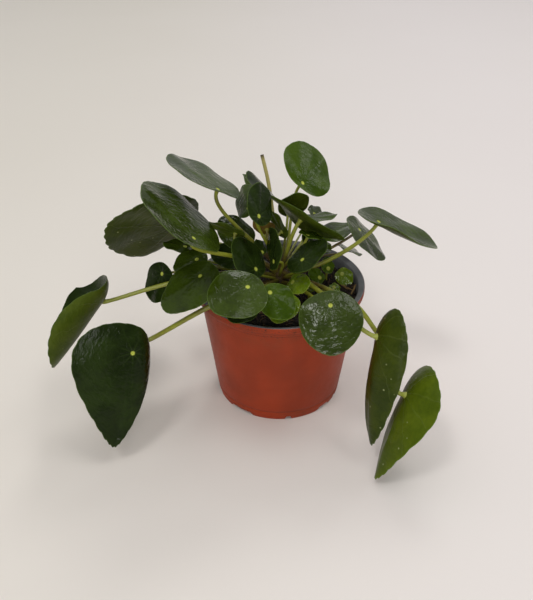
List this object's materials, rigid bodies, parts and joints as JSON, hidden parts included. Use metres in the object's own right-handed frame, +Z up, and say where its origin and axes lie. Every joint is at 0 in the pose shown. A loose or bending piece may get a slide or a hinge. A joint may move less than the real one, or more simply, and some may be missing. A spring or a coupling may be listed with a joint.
{
  "type": "potted plant",
  "caption": "Leafy potted plant with round, coin-shaped leaves on long stalks that spread from a short stem, growing in a round tapered plastic nursery pot filled with dark soil.",
  "frame": {"origin": "centre of the pot's base, on the surface that it stands on", "axes": "+Z up along the pot's axis; -Y is the plant's front; +X is to the right seen from the front, along the widest spread of the leaves"},
  "size_m": [0.2644, 0.1884, 0.1781],
  "materials": {
    "pot_plastic": "satin",
    "potting_soil": "matte",
    "petiole": "satin",
    "leaf": "satin",
    "leaf_old": "satin",
    "shoot": "satin"
  },
  "bodies": {
    "root": {"pot": "pot_plastic", "soil": "potting_soil", "leaf_top_left": "leaf", "leaf_left": "leaf", "leaf_left_back": "leaf", "leaf_far_left": "leaf", "leaf_front_left": "leaf", "leaf_front_left_near": "leaf", "leaf_left_dome": "leaf", "leaf_left_low": "leaf", "leaf_left_small": "leaf", "leaf_front": "leaf", "leaf_front_low": "leaf", "leaf_front_bright": "leaf", "leaf_front_under": "leaf", "leaf_front_right": "leaf", "leaf_right_low": "leaf", "leaf_right_outer": "leaf", "leaf_top_right": "leaf", "leaf_right": "leaf", "leaf_right_back": "leaf", "leaf_back_right": "leaf", "leaf_back_high": "leaf", "leaf_crossing": "leaf", "leaf_upper_centre": "leaf", "leaf_upper_grey": "leaf", "leaf_upper_slim": "leaf", "leaf_upper_back": "leaf", "leaf_inner_left": "leaf", "leaf_inner_slim": "leaf", "leaf_inner_dark": "leaf", "leaf_inner_pointed": "leaf", "leaf_inner_yellow": "leaf", "leaf_inner_glossy": "leaf", "leaf_inner_shade": "leaf", "leaf_inner_low": "leaf", "leaf_inner_striped": "leaf", "leaf_inner_sheen": "leaf", "leaf_rear_thin": "leaf", "leaf_rear_pale": "leaf", "leaf_old_yellow": "leaf_old", "leaf_inner_back": "leaf", "crown": "petiole", "pup_bright": "shoot", "pup_glossy": "shoot", "pup_dark": "shoot", "pup_low_left": "shoot", "pup_low_right": "shoot", "pup_yellow": "shoot"}
  },
  "joints": []
}
